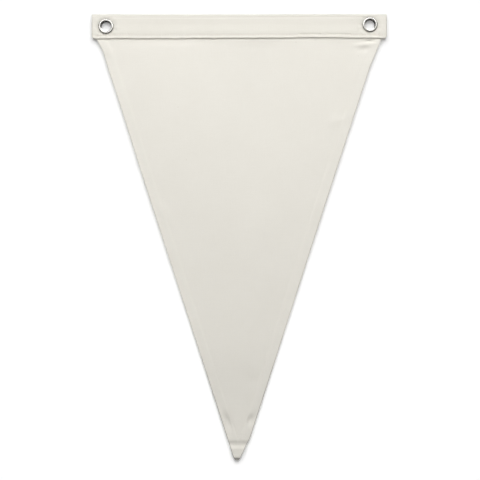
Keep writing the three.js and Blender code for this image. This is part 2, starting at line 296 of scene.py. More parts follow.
def panel_side(face):
    """One face of the panel as a grid of points: rows down the drop, columns across the row.
    A column near a side goes round the turned edge, which is an ellipse that ends in the seam.
    Rows in the point's taper are a quarter sine apart, so that they close up to its blunt end."""
    taper_drop = POINT_DROP - POINT_TAPER
    stops = [start for start, _ in PANEL_STRETCHES[1:]] + [taper_drop]
    drops = [np.linspace(start, stop, count, endpoint=False)
             for (start, count), stop in zip(PANEL_STRETCHES, stops)]
    quarter = np.sin(np.linspace(0, np.pi / 2, POINT_ROWS))
    drops = np.concatenate([*drops, taper_drop + (POINT_TAPER - POINT_ROW_GAP) * quarter])[:, None]
    round_angles = np.radians(EDGE_ANGLES)
    flat_steps = np.arange(1, FLAT_COLUMNS + 1) / FLAT_COLUMNS
    taper = point_taper(drops)
    left, right = side_left(drops), side_right(drops)
    middle, half = (left + right) / 2, (right - left) / 2 * taper
    edge = np.minimum(EDGE_ROUND, half * EDGE_SHARE)
    spacing = EVEN_SHARE * flat_steps + (1 - EVEN_SHARE) * (1 - np.cos(flat_steps * np.pi / 2))
    from_edge = np.hstack([edge * (1 - np.cos(round_angles)), edge + (half - edge) * spacing])
    lobe = np.hstack([0.5 + 0.5 * np.sin(round_angles), np.ones(len(flat_steps))])
    from_edge = np.hstack([from_edge, from_edge[:, -2::-1]])
    lobe = np.hstack([lobe, lobe[-2::-1]])
    side = np.where(np.arange(from_edge.shape[1]) < from_edge.shape[1] // 2, -1, 1)
    x = middle + side * (half - from_edge)
    in_heading = np.clip((TONGUE_END_DROP - drops) / (TONGUE_END_DROP - TONGUE_TOP_DROP), 0, 1)
    drop = drops + in_heading * (tongue_drop(x) - TONGUE_TOP_DROP)
    full = (panel_fullness(from_edge, x, drop) + bundle_ridges(x, drop)) * np.sqrt(taper)
    rise = panel_rise(x, drop) + seam_ripple(from_edge, drop, side)
    points = np.stack([x, -rise - face * full * lobe, -drop], -1)
    step = np.linalg.norm(np.diff(points, axis=1), axis=-1)
    centre = points.shape[1] // 2
    round_length = np.concatenate([np.zeros_like(drops), np.cumsum(step, 1)], 1)
    across = x[:, centre, None] + round_length - round_length[:, centre, None]
    return points, np.stack([across, -drop], -1), panel_wear_and_shade(from_edge, x, drop)


def sheet_mesh(name, outer, inner, keep=None):
    """A closed mesh from the two faces of a sheet, each (points, cloth coordinates, wear and painted
    shade) on one grid.
    Faces are the grid's squares where keep is true. A wall joins outer to inner along every edge
    that has a kept square on one side alone, which closes the rim and lines every hole."""
    rows, columns = outer[0].shape[:2]
    keep = np.ones((rows - 1, columns - 1), bool) if keep is None else keep
    index = np.arange(rows * columns).reshape(rows, columns)
    a, b, c, d = index[:-1, :-1], index[1:, :-1], index[1:, 1:], index[:-1, 1:]
    below = rows * columns
    faces = [np.stack([a, b, c, d], -1)[keep], np.stack([a, d, c, b], -1)[keep] + below]
    padded = np.pad(keep, 1)
    before, after = padded[1:-1, :-1], padded[1:-1, 1:]
    top, bottom = index[:-1], index[1:]
    faces.append(np.stack([top, bottom, bottom + below, top + below], -1)[before & ~after])
    faces.append(np.stack([bottom, top, top + below, bottom + below], -1)[~before & after])
    before, after = padded[:-1, 1:-1], padded[1:, 1:-1]
    left, right = index[:, :-1], index[:, 1:]
    faces.append(np.stack([right, left, left + below, right + below], -1)[before & ~after])
    faces.append(np.stack([left, right, right + below, left + below], -1)[~before & after])
    faces = np.concatenate(faces)
    used, corners = np.unique(faces, return_inverse=True)
    corners = corners.reshape(faces.shape)
    points, cloth, wear_and_shade = (
        np.concatenate([o.reshape(below, -1), i.reshape(below, -1)])[used] for o, i in zip(outer, inner)
    )
    mesh = bpy.data.meshes.new(name)
    mesh.from_pydata(points.tolist(), [], corners.tolist())
    uv = mesh.uv_layers.new(name="cloth")
    uv.data.foreach_set("uv", cloth[corners.ravel()].ravel())
    # The per-point value of wear and painted shade, which the canvas material reads.
    wear_and_shade_layer = mesh.attributes.new("wear_and_shade", "FLOAT", "POINT")
    wear_and_shade_layer.data.foreach_set("value", wear_and_shade.ravel().astype(np.float32))
    mesh.shade_smooth()
    piece = bpy.data.objects.new(name, mesh)
    bpy.context.scene.collection.objects.link(piece)
    return piece


class NodeSheet:
    """A material's node tree, with short ways to add a node and to join values by arithmetic."""

    def __init__(self, name):
        """A new material of this name, with its tree and its first shader."""
        self.material = bpy.data.materials.new(name)
        self.material.use_nodes = True
        self.tree = self.material.node_tree
        self.shader = self.tree.nodes["Principled BSDF"]

    def add(self, kind, inputs=None, **settings):
        """A new node with these settings, its sockets linked or set."""
        node = self.tree.nodes.new(kind)
        for key, value in settings.items():
            setattr(node, key, value)
        for key, value in (inputs or {}).items():
            self.put(node.inputs[key], value)
        return node

    def put(self, socket, value):
        """Links a node's output into the socket, or sets the socket to a plain value."""
        if isinstance(value, bpy.types.NodeSocket):
            self.tree.links.new(value, socket)
        else:
            socket.default_value = value

    def maths(self, operation, *values, clamp=False):
        """The result of one arithmetic operation on the values."""
        node = self.add("ShaderNodeMath", operation=operation, use_clamp=clamp)
        for socket, value in zip(node.inputs, values):
            self.put(socket, value)
        return node.outputs[0]

    def blend(self, share, first, second):
        """The first colour times one less the share, plus the second times the share."""
        node = self.add("ShaderNodeMix", data_type="RGBA")
        self.put(node.inputs["Factor"], share)
        self.put(node.inputs["A"], first)
        self.put(node.inputs["B"], second)
        return node.outputs["Result"]

    def ramp(self, value, low, high, out_low=0.0, out_high=1.0):
        """A soft step of the value from low to high, scaled to go from out_low to out_high."""
        node = self.add(
            "ShaderNodeMapRange",
            {"Value": value, "From Min": low, "From Max": high, "To Min": out_low, "To Max": out_high},
            interpolation_type="SMOOTHSTEP",
        )
        return node.outputs["Result"]


# The panel's copy of the canvas is tinted a little lighter than the heading's, for how the light falls on
# each: painted light.
PANEL_TINT = (1.033, 1.036, 1.032)
WARP_THREAD = 0.00052
WEFT_THREAD = WARP_THREAD * 1.12
THREAD_WANDER = 0.00022
LIGHT_CANVAS = (0.845, 0.819, 0.756)
DEEP_CANVAS = (0.807, 0.778, 0.712)
# Painted shade in the gaps between the threads.
SHADE_BETWEEN_THREADS = (0.52, 0.47, 0.39, 1.0)
NEP_BROWN = (0.42, 0.33, 0.22, 1.0)
# The grey that wear and painted shade blend the canvas towards.
WEAR_AND_SHADE_GREY = (0.42, 0.41, 0.38, 1.0)


def canvas_material(name, tint):
    """Plain-weave canvas on the cloth coordinates, in metres. A thread's height is a half sine across
    it, and the product of the two sets' sines says which set lies on top in each crossing.
    Slubs, neps and a faint mottle vary the colour, painted shade darkens the gaps between the threads,
    and a per-point value greys the edges by wear and painted shade and paints shade on the point, the
    hollows and round the rims."""
    sheet = NodeSheet(name)
    cloth = sheet.add("ShaderNodeUVMap", uv_map="cloth").outputs["UV"]
    wander = sheet.add("ShaderNodeTexNoise", {"Vector": cloth, "Scale": 260.0, "Detail": 2.0})
    off_centre = sheet.add("ShaderNodeVectorMath", {0: wander.outputs["Color"], 1: (0.5, 0.5, 0.5)},
                           operation="SUBTRACT")
    shifted = sheet.add("ShaderNodeVectorMath", {0: off_centre.outputs[0], 2: cloth,
                                                 1: (THREAD_WANDER, THREAD_WANDER, 0.0)},
                        operation="MULTIPLY_ADD")
    parts = sheet.add("ShaderNodeSeparateXYZ", {0: shifted.outputs[0]})
    across = sheet.maths("MULTIPLY", parts.outputs["X"], np.pi / WARP_THREAD)
    down = sheet.maths("MULTIPLY", parts.outputs["Y"], np.pi / WEFT_THREAD)
    warp_wave, weft_wave = sheet.maths("SINE", across), sheet.maths("SINE", down)
    over = sheet.ramp(sheet.maths("MULTIPLY", warp_wave, weft_wave), -0.35, 0.35)
    warp_round = sheet.maths("POWER", sheet.maths("ABSOLUTE", warp_wave), 0.6)
    weft_round = sheet.maths("POWER", sheet.maths("ABSOLUTE", weft_wave), 0.6)
    warp_top = sheet.maths("MULTIPLY", over, warp_round)
    weft_top = sheet.maths("MULTIPLY", sheet.maths("SUBTRACT", 1.0, over), weft_round)
    weave = sheet.maths("ADD", warp_top, weft_top)
    slub_vector = sheet.add("ShaderNodeMapping", {"Vector": cloth, "Scale": (1900.0, 60.0, 1.0)})
    warp_slub = sheet.add("ShaderNodeTexNoise", {"Vector": slub_vector.outputs[0], "Scale": 1.0,
                                                 "Detail": 1.0}).outputs["Fac"]
    slub_vector = sheet.add("ShaderNodeMapping", {"Vector": cloth, "Scale": (55.0, 1700.0, 1.0)})
    weft_slub = sheet.add("ShaderNodeTexNoise", {"Vector": slub_vector.outputs[0], "Scale": 1.0,
                                                 "Detail": 1.0}).outputs["Fac"]
    slub = sheet.maths("MULTIPLY", sheet.maths("ADD", warp_slub, weft_slub), 0.5)
    mottle = sheet.add("ShaderNodeTexNoise", {"Vector": cloth, "Scale": 26.0, "Detail": 3.0,
                                              "Roughness": 0.55}).outputs["Fac"]
    neps = sheet.add("ShaderNodeTexVoronoi", {"Vector": cloth, "Scale": 75.0})
    nep = sheet.maths("MULTIPLY", sheet.ramp(neps.outputs["Distance"], 0.022, 0.035, 1.0, 0.0),
                    sheet.ramp(neps.outputs["Color"], 0.62, 0.66))
    wear_and_shade = sheet.add("ShaderNodeAttribute", attribute_name="wear_and_shade").outputs["Fac"]
    light, deep = [(*np.multiply(tone, tint).tolist(), 1.0) for tone in (LIGHT_CANVAS, DEEP_CANVAS)]
    colour = sheet.blend(sheet.ramp(mottle, 0.30, 0.70, 0.15, 0.45), light, deep)
    colour = sheet.blend(sheet.ramp(slub, 0.40, 0.62, 0.0, 0.35), colour, deep)
    # Painted shade: darker where the weave is low, between the threads.
    colour = sheet.blend(sheet.ramp(weave, 0.15, 0.75, 0.22, 0.0), colour, SHADE_BETWEEN_THREADS)
    colour = sheet.blend(sheet.maths("MULTIPLY", nep, 0.35), colour, NEP_BROWN)
    # Wear and painted shade: the per-point value greys worn edges and paints shade on the edges low down,
    # the point's tuck and dent, the hollows and round the rims.
    colour = sheet.blend(sheet.maths("MULTIPLY", wear_and_shade, 0.30, clamp=True), colour, WEAR_AND_SHADE_GREY)
    height = sheet.maths("MULTIPLY_ADD", slub, 0.5, weave)
    bump = sheet.add("ShaderNodeBump", {"Height": height, "Strength": 0.55, "Distance": 0.00010})
    sheet.put(sheet.shader.inputs["Base Color"], colour)
    sheet.put(sheet.shader.inputs["Roughness"], sheet.ramp(weave, 0.0, 1.0, 0.95, 0.82))
    sheet.put(sheet.shader.inputs["Normal"], bump.outputs["Normal"])
    sheet.shader.inputs["Specular IOR Level"].default_value = 0.25
    sheet.shader.inputs["Sheen Weight"].default_value = 0.12
    sheet.shader.inputs["Sheen Roughness"].default_value = 0.5
    return sheet.material


panel = sheet_mesh("panel_cloth", panel_side(1), panel_side(-1))
panel.data.materials.append(canvas_material("panel_canvas", PANEL_TINT))
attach(panel, "root")
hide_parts("pennant_panel")


# Heading: a strip of the same canvas, its long edges and ends turned in, folded over the raw
# top of the panel and sewn through. It is thick where the panel lies between its leaves and
# where its ends are turned in, thin between, and pressed flat round the eyelets.
SHORT_OF_SOLID = 0.0007
HEADING_HALF_LENGTH = (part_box("heading")[1][0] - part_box("heading")[0][0]) / 2 - SHORT_OF_SOLID
HEADING_HEIGHT = 0.0242
# The heading's copy of the same canvas is tinted a little darker than the panel's, for how the light
# falls on it: painted shade.
HEADING_TINT = (0.990, 0.992, 0.982)
TOP_RISE = 0.00025
LEAF = 0.00085
LEAF_HALF_GAP = 0.00025
LEAF_LOFT = 0.00045
LEAF_SPREAD = 0.00012
SPREAD_START = 0.0095
SPREAD_STOP = 0.0002
CORNER_DRAW = 0.0014
CORNER_LENGTH = 0.008
CORNER_HEIGHT = 0.0016
END_ROUND = 0.0009

# Relief: the ring pressed flat round the rims, the puckers that fan out from it, the turned ends,
# the stitching's groove, the crease under the top fold, and the roll along the lower edge.
PRESSED_RING = (RIM_RADIUS + 0.0004, RIM_RADIUS + 0.0042)
FAN_RISE = 0.00010
FAN_AWAY = RIM_RADIUS + 0.0022
FAN_REACH = 0.0026
TURNED_END = 0.0075
TURNED_STEP = (TURNED_END - 0.0006, TURNED_END + 0.0008)
TURNED_RISE = 0.00022
STITCH_RISE = 0.0037
STITCHES = 105
STITCH_LENGTH = 2 * HEADING_HALF_LENGTH / STITCHES
TIGHT_RUNS = [(0.0590, 0.0836), (0.0877, 0.1136)]
TIGHT_END = 0.002
GROOVE_DEPTH = 0.00004
NEEDLE_HOLE_DEPTH = 0.00010
TIGHT_DEPTH = 0.00034
GROOVE_HALF = 0.00080
CREASE_DEPTH = 0.00024
CREASE_DROP = 0.0029
CREASE_HALF = 0.0011
ROLL_HEIGHT = 0.00036
ROLL_RISE = 0.0010
LOWER_PUCKERS = [(0.00117, 1.0, 0), (0.0019, 0.7, 1), (0.0031, 0.6, 2)]
PUCKER_HEIGHT = 0.00004
PUCKER_RISE = 0.0021
PUCKER_REACH = 0.0028

# Wear and painted shade: greyer on the lower edge, the top fold and the ends by both, and painted shade
# round the rims.
LOWER_EDGE_WEAR_AND_SHADE = 0.8
LOWER_EDGE_COLUMNS = 3
TOP_FOLD_WEAR_AND_SHADE = 0.85
TOP_FOLD_REACH = 0.0017
END_WEAR_AND_SHADE = 0.5
END_WEAR_AND_SHADE_REACH = 0.0007
NEAR_END_WEAR_AND_SHADE = 0.10
NEAR_END_REACH = 0.0048
# Painted shade in a ring on the cloth round the rims.
RIM_SHADE_AWAY = RIM_RADIUS + 0.0006
RIM_SHADE_REACH = 0.0018

# Rises of the rows of points on each leaf, closest at the lower edge and its roll.
EDGE_RISES = [0, 0.00010, 0.00026, 0.0005]
EDGE_ROLLED = np.array([0.60, 0.82, 0.95, 1.0])
LEAF_RISES = [(0.0008, 0.0060, 17), (0.0060, 0.0190, 15), (0.0190, 0.0222, 7)]
FOLD_COLUMNS = 13

# How far the stitches pull the lower edge down, with the length over two pi and the shift.
STITCH_PULLS = [(0.00007, 0.0021, 1), (0.00009, 0.0057, 0)]

# Stretches of the two long edges: where each one is, its half width and how far down it goes.
TOP_UNEVEN = {"lift over the left eyelet": (-0.130, 0.008, -0.0002),
              "lift of the right half": (0.100, 0.050, -0.00027)}
BOTTOM_UNEVEN = {"droop of the left end": (-0.146, 0.014, 0.0006),
                 "sag of the left half": (-0.085, 0.050, 0.00040),
                 "lift of the right half": (0.082, 0.028, -0.0006),
                 "droop of the right end": (0.148, 0.008, 0.00025)}


def uneven(stretches, x):
    """A sum of bells along the edge, one for each stretch, times how far down it goes."""
    return sum(down * bell(x - place, width) for place, width, down in stretches.values())


def heading_bottom(x):
    """Drop of the lower edge: the height, its uneven stretches, and two small sines where the
    stitches pull."""
    pulls = sum(pull * np.sin(x / length + shift) for pull, length, shift in STITCH_PULLS)
    return HEADING_HEIGHT + uneven(BOTTOM_UNEVEN, x) + pulls


def from_eyelets(x, drop):
    """Distance to the nearer eyelet's centre, and the direction round it."""
    near = EYELET_CENTRES[0][0] * (x < 0) + EYELET_CENTRES[1][0] * (x >= 0)
    near_drop = -EYELET_CENTRES[0][2] * (x < 0) - EYELET_CENTRES[1][2] * (x >= 0)
    return np.hypot(x - near, drop - near_drop), np.arctan2(drop - near_drop, x - near)


def leaf_inside(x, drop):
    """How far a leaf's inside stands off the mid-plane: nearly closed, ramped out over the tongue."""
    edge = tongue_drop(x)
    spread = TONGUE_HALF + LEAF_SPREAD - LEAF_HALF_GAP
    return LEAF_HALF_GAP + spread * ramp(drop, edge - SPREAD_START, edge - SPREAD_STOP)


def leaf_outside(x, drop, face):
    """Inside, plus the leaf's thickness and its relief: a loft that the eyelets press away, puckers
    that fan out round them, a step where the ends are turned in, the groove that the stitching
    pulls, deeper at each needle hole and along the tighter runs, the crease under the top fold, and
    the puckered roll along the lower edge. Each is a height times a bell or a ramp."""
    rise = heading_bottom(x) - drop
    away, direction = from_eyelets(x, drop)
    pressed = 1 - ramp(away, *PRESSED_RING)
    loft = LEAF_LOFT * (1 - pressed)
    fan = np.sin(direction * 9 + 1.2 * face) + 0.7 * np.sin(direction * 14 - 0.5)
    fan = FAN_RISE * fan * bell(away - FAN_AWAY, FAN_REACH)
    end = HEADING_HALF_LENGTH - np.abs(x)
    turned = TURNED_RISE * (1 - ramp(end, *TURNED_STEP)) * (1 - pressed)
    holes = 0.5 + 0.5 * np.cos(2 * np.pi * (x + HEADING_HALF_LENGTH) / STITCH_LENGTH)
    tight = sum(ramp(x, start, start + TIGHT_END) * (1 - ramp(x, stop - TIGHT_END, stop))
                for start, stop in TIGHT_RUNS)
    groove = GROOVE_DEPTH + NEEDLE_HOLE_DEPTH * holes + TIGHT_DEPTH * tight
    groove = groove * bell(rise - STITCH_RISE, GROOVE_HALF)
    crease = CREASE_DEPTH * bell(drop - uneven(TOP_UNEVEN, x) - CREASE_DROP, CREASE_HALF)
    puckers = sum(share * np.sin(x / length + shift * face) for length, share, shift in LOWER_PUCKERS)
    roll = ROLL_HEIGHT * bell(rise - ROLL_RISE, ROLL_RISE)
    roll = roll + PUCKER_HEIGHT * puckers * bell(rise - PUCKER_RISE, PUCKER_REACH)
    return leaf_inside(x, drop) + LEAF + loft + fan + turned - groove - crease + roll


def heading_wear_and_shade(points, drop, top, end):
    """The most of these: wear and painted shade on the lowest points of both leaves and in a bell each of
    the distance to the top fold and to the ends, and painted shade in a bell of the distance to the rims,
    strongest above and to the left."""
    wear_and_shade = np.zeros_like(drop)
    wear_and_shade[:, :LOWER_EDGE_COLUMNS] = wear_and_shade[:, -LOWER_EDGE_COLUMNS:] = LOWER_EDGE_WEAR_AND_SHADE
    wear_and_shade = np.maximum(wear_and_shade, TOP_FOLD_WEAR_AND_SHADE * bell(drop - top, TOP_FOLD_REACH))
    end_wear_and_shade = END_WEAR_AND_SHADE * bell(end, END_WEAR_AND_SHADE_REACH) + NEAR_END_WEAR_AND_SHADE * bell(end, NEAR_END_REACH)
    wear_and_shade = np.maximum(wear_and_shade, end_wear_and_shade)
    away, direction = from_eyelets(points[..., 0], drop)
    # Painted shade round the rims, strongest above and to the left.
    rim_shade = 0.5 - 0.4 * np.sin(direction) - 0.15 * np.cos(direction)
    return np.maximum(wear_and_shade, rim_shade * bell(away - RIM_SHADE_AWAY, RIM_SHADE_REACH))


def heading_side(outward):
    """The strip's outer or inner face as a grid: columns go up the front leaf from its lower edge,
    over the fold in a half ellipse, and down the back leaf; rows go along the heading. The lower
    corners are drawn in."""
    x = np.linspace(-HEADING_HALF_LENGTH, HEADING_HALF_LENGTH, 4 * STITCHES + 1)[:, None]
    rises = [np.linspace(start, stop, count, endpoint=False) for start, stop, count in LEAF_RISES]
    rises = np.concatenate([EDGE_RISES, *rises, [LEAF_RISES[-1][1]]])
    edge_rows = len(EDGE_RISES)
    angles = np.radians(np.linspace(0, 180, FOLD_COLUMNS)[1:-1])
    end = HEADING_HALF_LENGTH - np.abs(x)
    end_round = 1 - 0.45 * (1 - np.clip(end / END_ROUND, 0, 1)) ** 2
    bottom, top = heading_bottom(x), uneven(TOP_UNEVEN, x) - TOP_RISE
    corner = (1 - ramp(end, 0, CORNER_LENGTH)) * bell(rises, CORNER_HEIGHT)
    leaf_x = x - np.sign(x) * CORNER_DRAW * corner

    def offset(place, drop, face):
        """How far this side of the leaf stands off the mid-plane, thinner at the rounded ends."""
        inside = leaf_inside(place, drop)
        if not outward:
            return inside
        return inside + (leaf_outside(place, drop, face) - inside) * end_round

    def leaf(face):
        """Drops and depths of one leaf's points, its lowest rows drawn in to the rolled edge."""
        drop = bottom - rises
        stand = offset(leaf_x, drop, face)
        if outward:
            inside = leaf_inside(leaf_x[:, :edge_rows], drop[:, :edge_rows])
            stand[:, :edge_rows] = inside + (stand[:, :edge_rows] - inside) * EDGE_ROLLED
        return drop, -face * stand

    front_drop, front_y = leaf(1)
    back_drop, back_y = leaf(-1)
    fold_drop = bottom - rises[-1]
    radius = offset(x, fold_drop, 1)
    height = fold_drop - top - (0 if outward else LEAF)
    arch_drop, arch_y = fold_drop - height * np.sin(angles), -radius * np.cos(angles)
    drop = np.hstack([front_drop, arch_drop, back_drop[:, ::-1]])
    y = np.hstack([front_y, arch_y, back_y[:, ::-1]]) + heading_bow(x)
    across = np.hstack([leaf_x, np.broadcast_to(x, arch_drop.shape), leaf_x[:, ::-1]])
    points = np.stack([across, y, -drop], -1)
    step = np.linalg.norm(np.diff(points, axis=1), axis=-1)
    along = np.concatenate([np.zeros_like(x), np.cumsum(step, 1)], 1)
    return points, np.stack([across, along], -1), heading_wear_and_shade(points, drop, top, end)


# The punched holes are hidden under the eyelets' rims.
PUNCHED_RADIUS = 0.0066
outer, inner = heading_side(True), heading_side(False)
open_corner = from_eyelets(outer[0][..., 0], -outer[0][..., 2])[0] < PUNCHED_RADIUS
whole = ~(open_corner[:-1, :-1] & open_corner[1:, :-1] & open_corner[1:, 1:] & open_corner[:-1, 1:])
heading = sheet_mesh("heading_strip", outer, inner, whole)
heading.data.materials.append(canvas_material("heading_canvas", HEADING_TINT))
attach(heading, "root")
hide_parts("heading")


# Topstitching: one row of lockstitch in cotton thread right along the heading, through both
# leaves and the panel between them, and sewn to and fro over the last stitches at each end.
THREAD_RADIUS = 0.00016
THREAD_ARCH = 0.00014
THREAD_SUNK = 0.00006
THREAD_WOBBLE = 0.00006
DOUBLED_STITCHES = 4
DOUBLED_SHIFT = 0.4
DOUBLED_LOWER = 0.00030
STITCH_RINGS = 8
STITCH_SIDES = 6


def stitch_row(face, first, count, shift, lower):
    """One tube for each stitch: its middle line is a half sine over the cloth that dips in at both
    needle holes, and its section is a circle that narrows to the ends."""
    along = np.linspace(0, 1, STITCH_RINGS)
    round_angles = np.linspace(0, 2 * np.pi, STITCH_SIDES, endpoint=False)
    start = -HEADING_HALF_LENGTH + STITCH_LENGTH * (first + shift + np.arange(count))
    x = start[:, None] + STITCH_LENGTH * (0.04 + 0.92 * along)
    wobble = THREAD_WOBBLE * np.sin(start * 9100 + face)[:, None] * (2 * along - 1)
    drop = heading_bottom(x) - STITCH_RISE + lower + wobble
    over = leaf_outside(x, drop, face) + THREAD_ARCH * np.sin(np.pi * along) - THREAD_SUNK
    radius = THREAD_RADIUS * (0.55 + 0.45 * np.sin(np.pi * along) ** 0.5)
    y = heading_bow(x) - face * over
    ring_y = y[..., None] - radius[:, None] * np.sin(round_angles)
    ring_z = -drop[..., None] + radius[:, None] * np.cos(round_angles)
    points = np.stack([np.broadcast_to(x[..., None], ring_y.shape), ring_y, ring_z], -1)
    rings, sides = len(along), len(round_angles)
    i, j = np.meshgrid(np.arange(rings - 1), np.arange(sides), indexing="ij")
    nxt = (j + 1) % sides
    wall = np.stack([i * sides + j, (i + 1) * sides + j, (i + 1) * sides + nxt, i * sides + nxt], -1)
    return points.reshape(count, rings * sides, 3), wall.reshape(-1, 4), sides


def thread_mesh(name, rows):
    """All the stitches as one mesh: each tube's faces are its wall's, moved on by the points before
    it, and a face of its section at both ends."""
    points, faces = [], []
    total = 0
    for stitches, wall, sides in rows:
        count, each = stitches.shape[:2]
        starts = total + each * np.arange(count)
        faces += (wall[None] + starts[:, None, None]).reshape(-1, 4).tolist()
        faces += (np.arange(sides)[::-1][None] + each - sides + starts[:, None])[:, ::-1].tolist()
        faces += (np.arange(sides)[::-1][None] + starts[:, None]).tolist()
        points.append(stitches.reshape(-1, 3))
        total += count * each
    mesh = bpy.data.meshes.new(name)
    mesh.from_pydata(np.concatenate(points).tolist(), [], faces)
    mesh.shade_smooth()
    piece = bpy.data.objects.new(name, mesh)
    bpy.context.scene.collection.objects.link(piece)
    return piece


def thread_material(name):
    """Twisted cotton thread: slanting plies as a wave along the row, on Object coordinates."""
    sheet = NodeSheet(name)
    place = sheet.add("ShaderNodeTexCoord").outputs["Object"]
    plies = sheet.add("ShaderNodeTexWave", {"Vector": place, "Scale": 900.0, "Distortion": 0.6},
                      bands_direction="DIAGONAL").outputs["Fac"]
    tone = sheet.add("ShaderNodeTexNoise", {"Vector": place, "Scale": 160.0}).outputs["Fac"]
    colour = sheet.blend(sheet.ramp(tone, 0.3, 0.7), (0.83, 0.79, 0.71, 1), (0.76, 0.71, 0.62, 1))
    # Painted shade in the grooves between the plies: darker where the wave is low.
    colour = sheet.blend(sheet.ramp(plies, 0.0, 0.5, 0.35, 0.0), colour, (0.55, 0.5, 0.42, 1))
    bump = sheet.add("ShaderNodeBump", {"Height": plies, "Strength": 0.5, "Distance": 0.00006})
    sheet.put(sheet.shader.inputs["Base Color"], colour)
    sheet.put(sheet.shader.inputs["Normal"], bump.outputs["Normal"])
    sheet.shader.inputs["Roughness"].default_value = 0.7
    sheet.shader.inputs["Sheen Weight"].default_value = 0.15
    return sheet.material


topstitching = thread_mesh("topstitching", [
    row for face in (1, -1) for row in (
        stitch_row(face, 1, STITCHES - 2, 0, 0),
        stitch_row(face, 1, DOUBLED_STITCHES, DOUBLED_SHIFT, DOUBLED_LOWER),
        stitch_row(face, STITCHES - DOUBLED_STITCHES - 2, DOUBLED_STITCHES, DOUBLED_SHIFT, DOUBLED_LOWER),
    )
])
topstitching.data.materials.append(thread_material("cotton_thread"))
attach(topstitching, "root")


# Eyelets: nickel-plated brass cups with a domed, rolled rim, pushed through the heading and
# set from behind, where the barrel's end is pressed flat over a loose flat washer.
EYELET_TURNS = 128
RIM_FOOT = 0.0010
RIM_DENTS = 0.00002
MILLIMETRE = 0.001

# Radius from the hole's axis and height towards the face, in millimetres: up the barrel's outside,
# out under the rim, over its dome, down the funnel mouth and the bore, and out to the set lip.
EYELET_PROFILE = [
    (5.75, -2.65), (5.75, 1.30), (5.95, 1.36), (7.35, 1.36), (7.74, 1.42), (7.92, 1.66), (7.92, 1.98),
    (7.80, 2.30), (7.56, 2.60), (7.24, 2.82), (6.90, 2.98), (6.56, 3.07), (6.24, 3.10), (5.96, 3.05),
    (5.72, 2.90), (5.52, 2.64), (5.36, 2.25), (5.22, 1.70), (5.10, 1.05), (5.00, 0.30), (4.92, -0.50),
    (4.88, -1.40), (4.86, -2.35), (4.92, -2.75), (5.12, -2.98), (5.45, -3.09), (6.75, -3.09),
    (6.98, -3.02), (7.05, -2.85), (6.98, -2.70), (6.75, -2.64),
]
WASHER_PROFILE = [
    (6.05, -1.40), (6.00, -1.55), (6.00, -2.20), (6.10, -2.34), (7.45, -2.30), (7.74, -2.18),
    (7.88, -1.90), (7.82, -1.60), (7.60, -1.42),
]


def rounded_loop(profile, steps):
    """A closed curve through the profile's points: a Catmull-Rom blend of each four in turn."""
    p = np.array(profile) * MILLIMETRE
    t = np.linspace(0, 1, steps, endpoint=False)[:, None]
    before, here, there, beyond = (np.roll(p, shift, 0)[:, None] for shift in (1, 0, -1, -2))
    curve = 0.5 * (2 * here + (there - before) * t + (2 * before - 5 * here + 4 * there - beyond) * t**2
                   + (3 * here - before - 3 * there + beyond) * t**3)
    return curve.reshape(-1, 2)


def turned_piece(name, profile, steps, centre, dents):
    """The profile carried round the hole's axis: radius times cosine and sine of the angle, height
    towards the face. The pressing tool's dents are low waves round the axis."""
    loop = rounded_loop(profile, steps)
    angle = np.linspace(0, 2 * np.pi, EYELET_TURNS, endpoint=False)[:, None]
    radius, height = loop[:, 0][None], loop[:, 1][None]
    wave = dents * (np.sin(3 * angle + 0.4) + 0.6 * np.sin(7 * angle + 2.0))
    radius = radius + wave * (height > RIM_FOOT)
    points = np.stack([
        centre[0] + radius * np.cos(angle),
        np.broadcast_to(-height, (EYELET_TURNS, len(loop))),
        centre[2] + radius * np.sin(angle),
    ], -1)
    turns, sides = points.shape[:2]
    i, j = np.meshgrid(np.arange(turns), np.arange(sides), indexing="ij")
    ni, nj = (i + 1) % turns, (j + 1) % sides
    faces = np.stack([i * sides + j, i * sides + nj, ni * sides + nj, ni * sides + j], -1).reshape(-1, 4)
    mesh = bpy.data.meshes.new(name)
    mesh.from_pydata(points.reshape(-1, 3).tolist(), [], faces.tolist())
    round_uv = np.stack([i / turns, j / sides], -1)[:, :, None]
    corner = np.array([(0, 0), (0, 1 / sides), (1 / turns, 1 / sides), (1 / turns, 0)])
    uv = mesh.uv_layers.new(name="round")
    uv.data.foreach_set("uv", (round_uv + corner).ravel())
    mesh.shade_smooth()
    piece = bpy.data.objects.new(name, mesh)
    bpy.context.scene.collection.objects.link(piece)
    return piece


def nickel_material(name):
    """Satin nickel plate: fine scratches round the ring, stretched noise on the turned coordinates,
    over a faint cloudiness, with roughness and a low bump from both."""
    sheet = NodeSheet(name)
    turned = sheet.add("ShaderNodeUVMap", uv_map="round").outputs["UV"]
    stretched = sheet.add("ShaderNodeMapping", {"Vector": turned, "Scale": (3.0, 420.0, 1.0)})
    scratch = sheet.add("ShaderNodeTexNoise", {"Vector": stretched.outputs[0], "Scale": 1.0,
                                               "Detail": 4.0}).outputs["Fac"]
    place = sheet.add("ShaderNodeTexCoord").outputs["Object"]
    cloud = sheet.add("ShaderNodeTexNoise", {"Vector": place, "Scale": 420.0,
                                             "Detail": 2.0}).outputs["Fac"]
    colour = sheet.blend(sheet.ramp(cloud, 0.3, 0.7), (0.79, 0.775, 0.74, 1), (0.73, 0.715, 0.675, 1))
    rough = sheet.maths("MULTIPLY_ADD", scratch, 0.12, sheet.ramp(cloud, 0.3, 0.7, 0.19, 0.23))
    bump = sheet.add("ShaderNodeBump", {"Height": scratch, "Strength": 0.15, "Distance": 0.00003})
    sheet.put(sheet.shader.inputs["Base Color"], colour)
    sheet.put(sheet.shader.inputs["Roughness"], rough)
    sheet.put(sheet.shader.inputs["Normal"], bump.outputs["Normal"])
    sheet.shader.inputs["Metallic"].default_value = 1.0
    return sheet.material


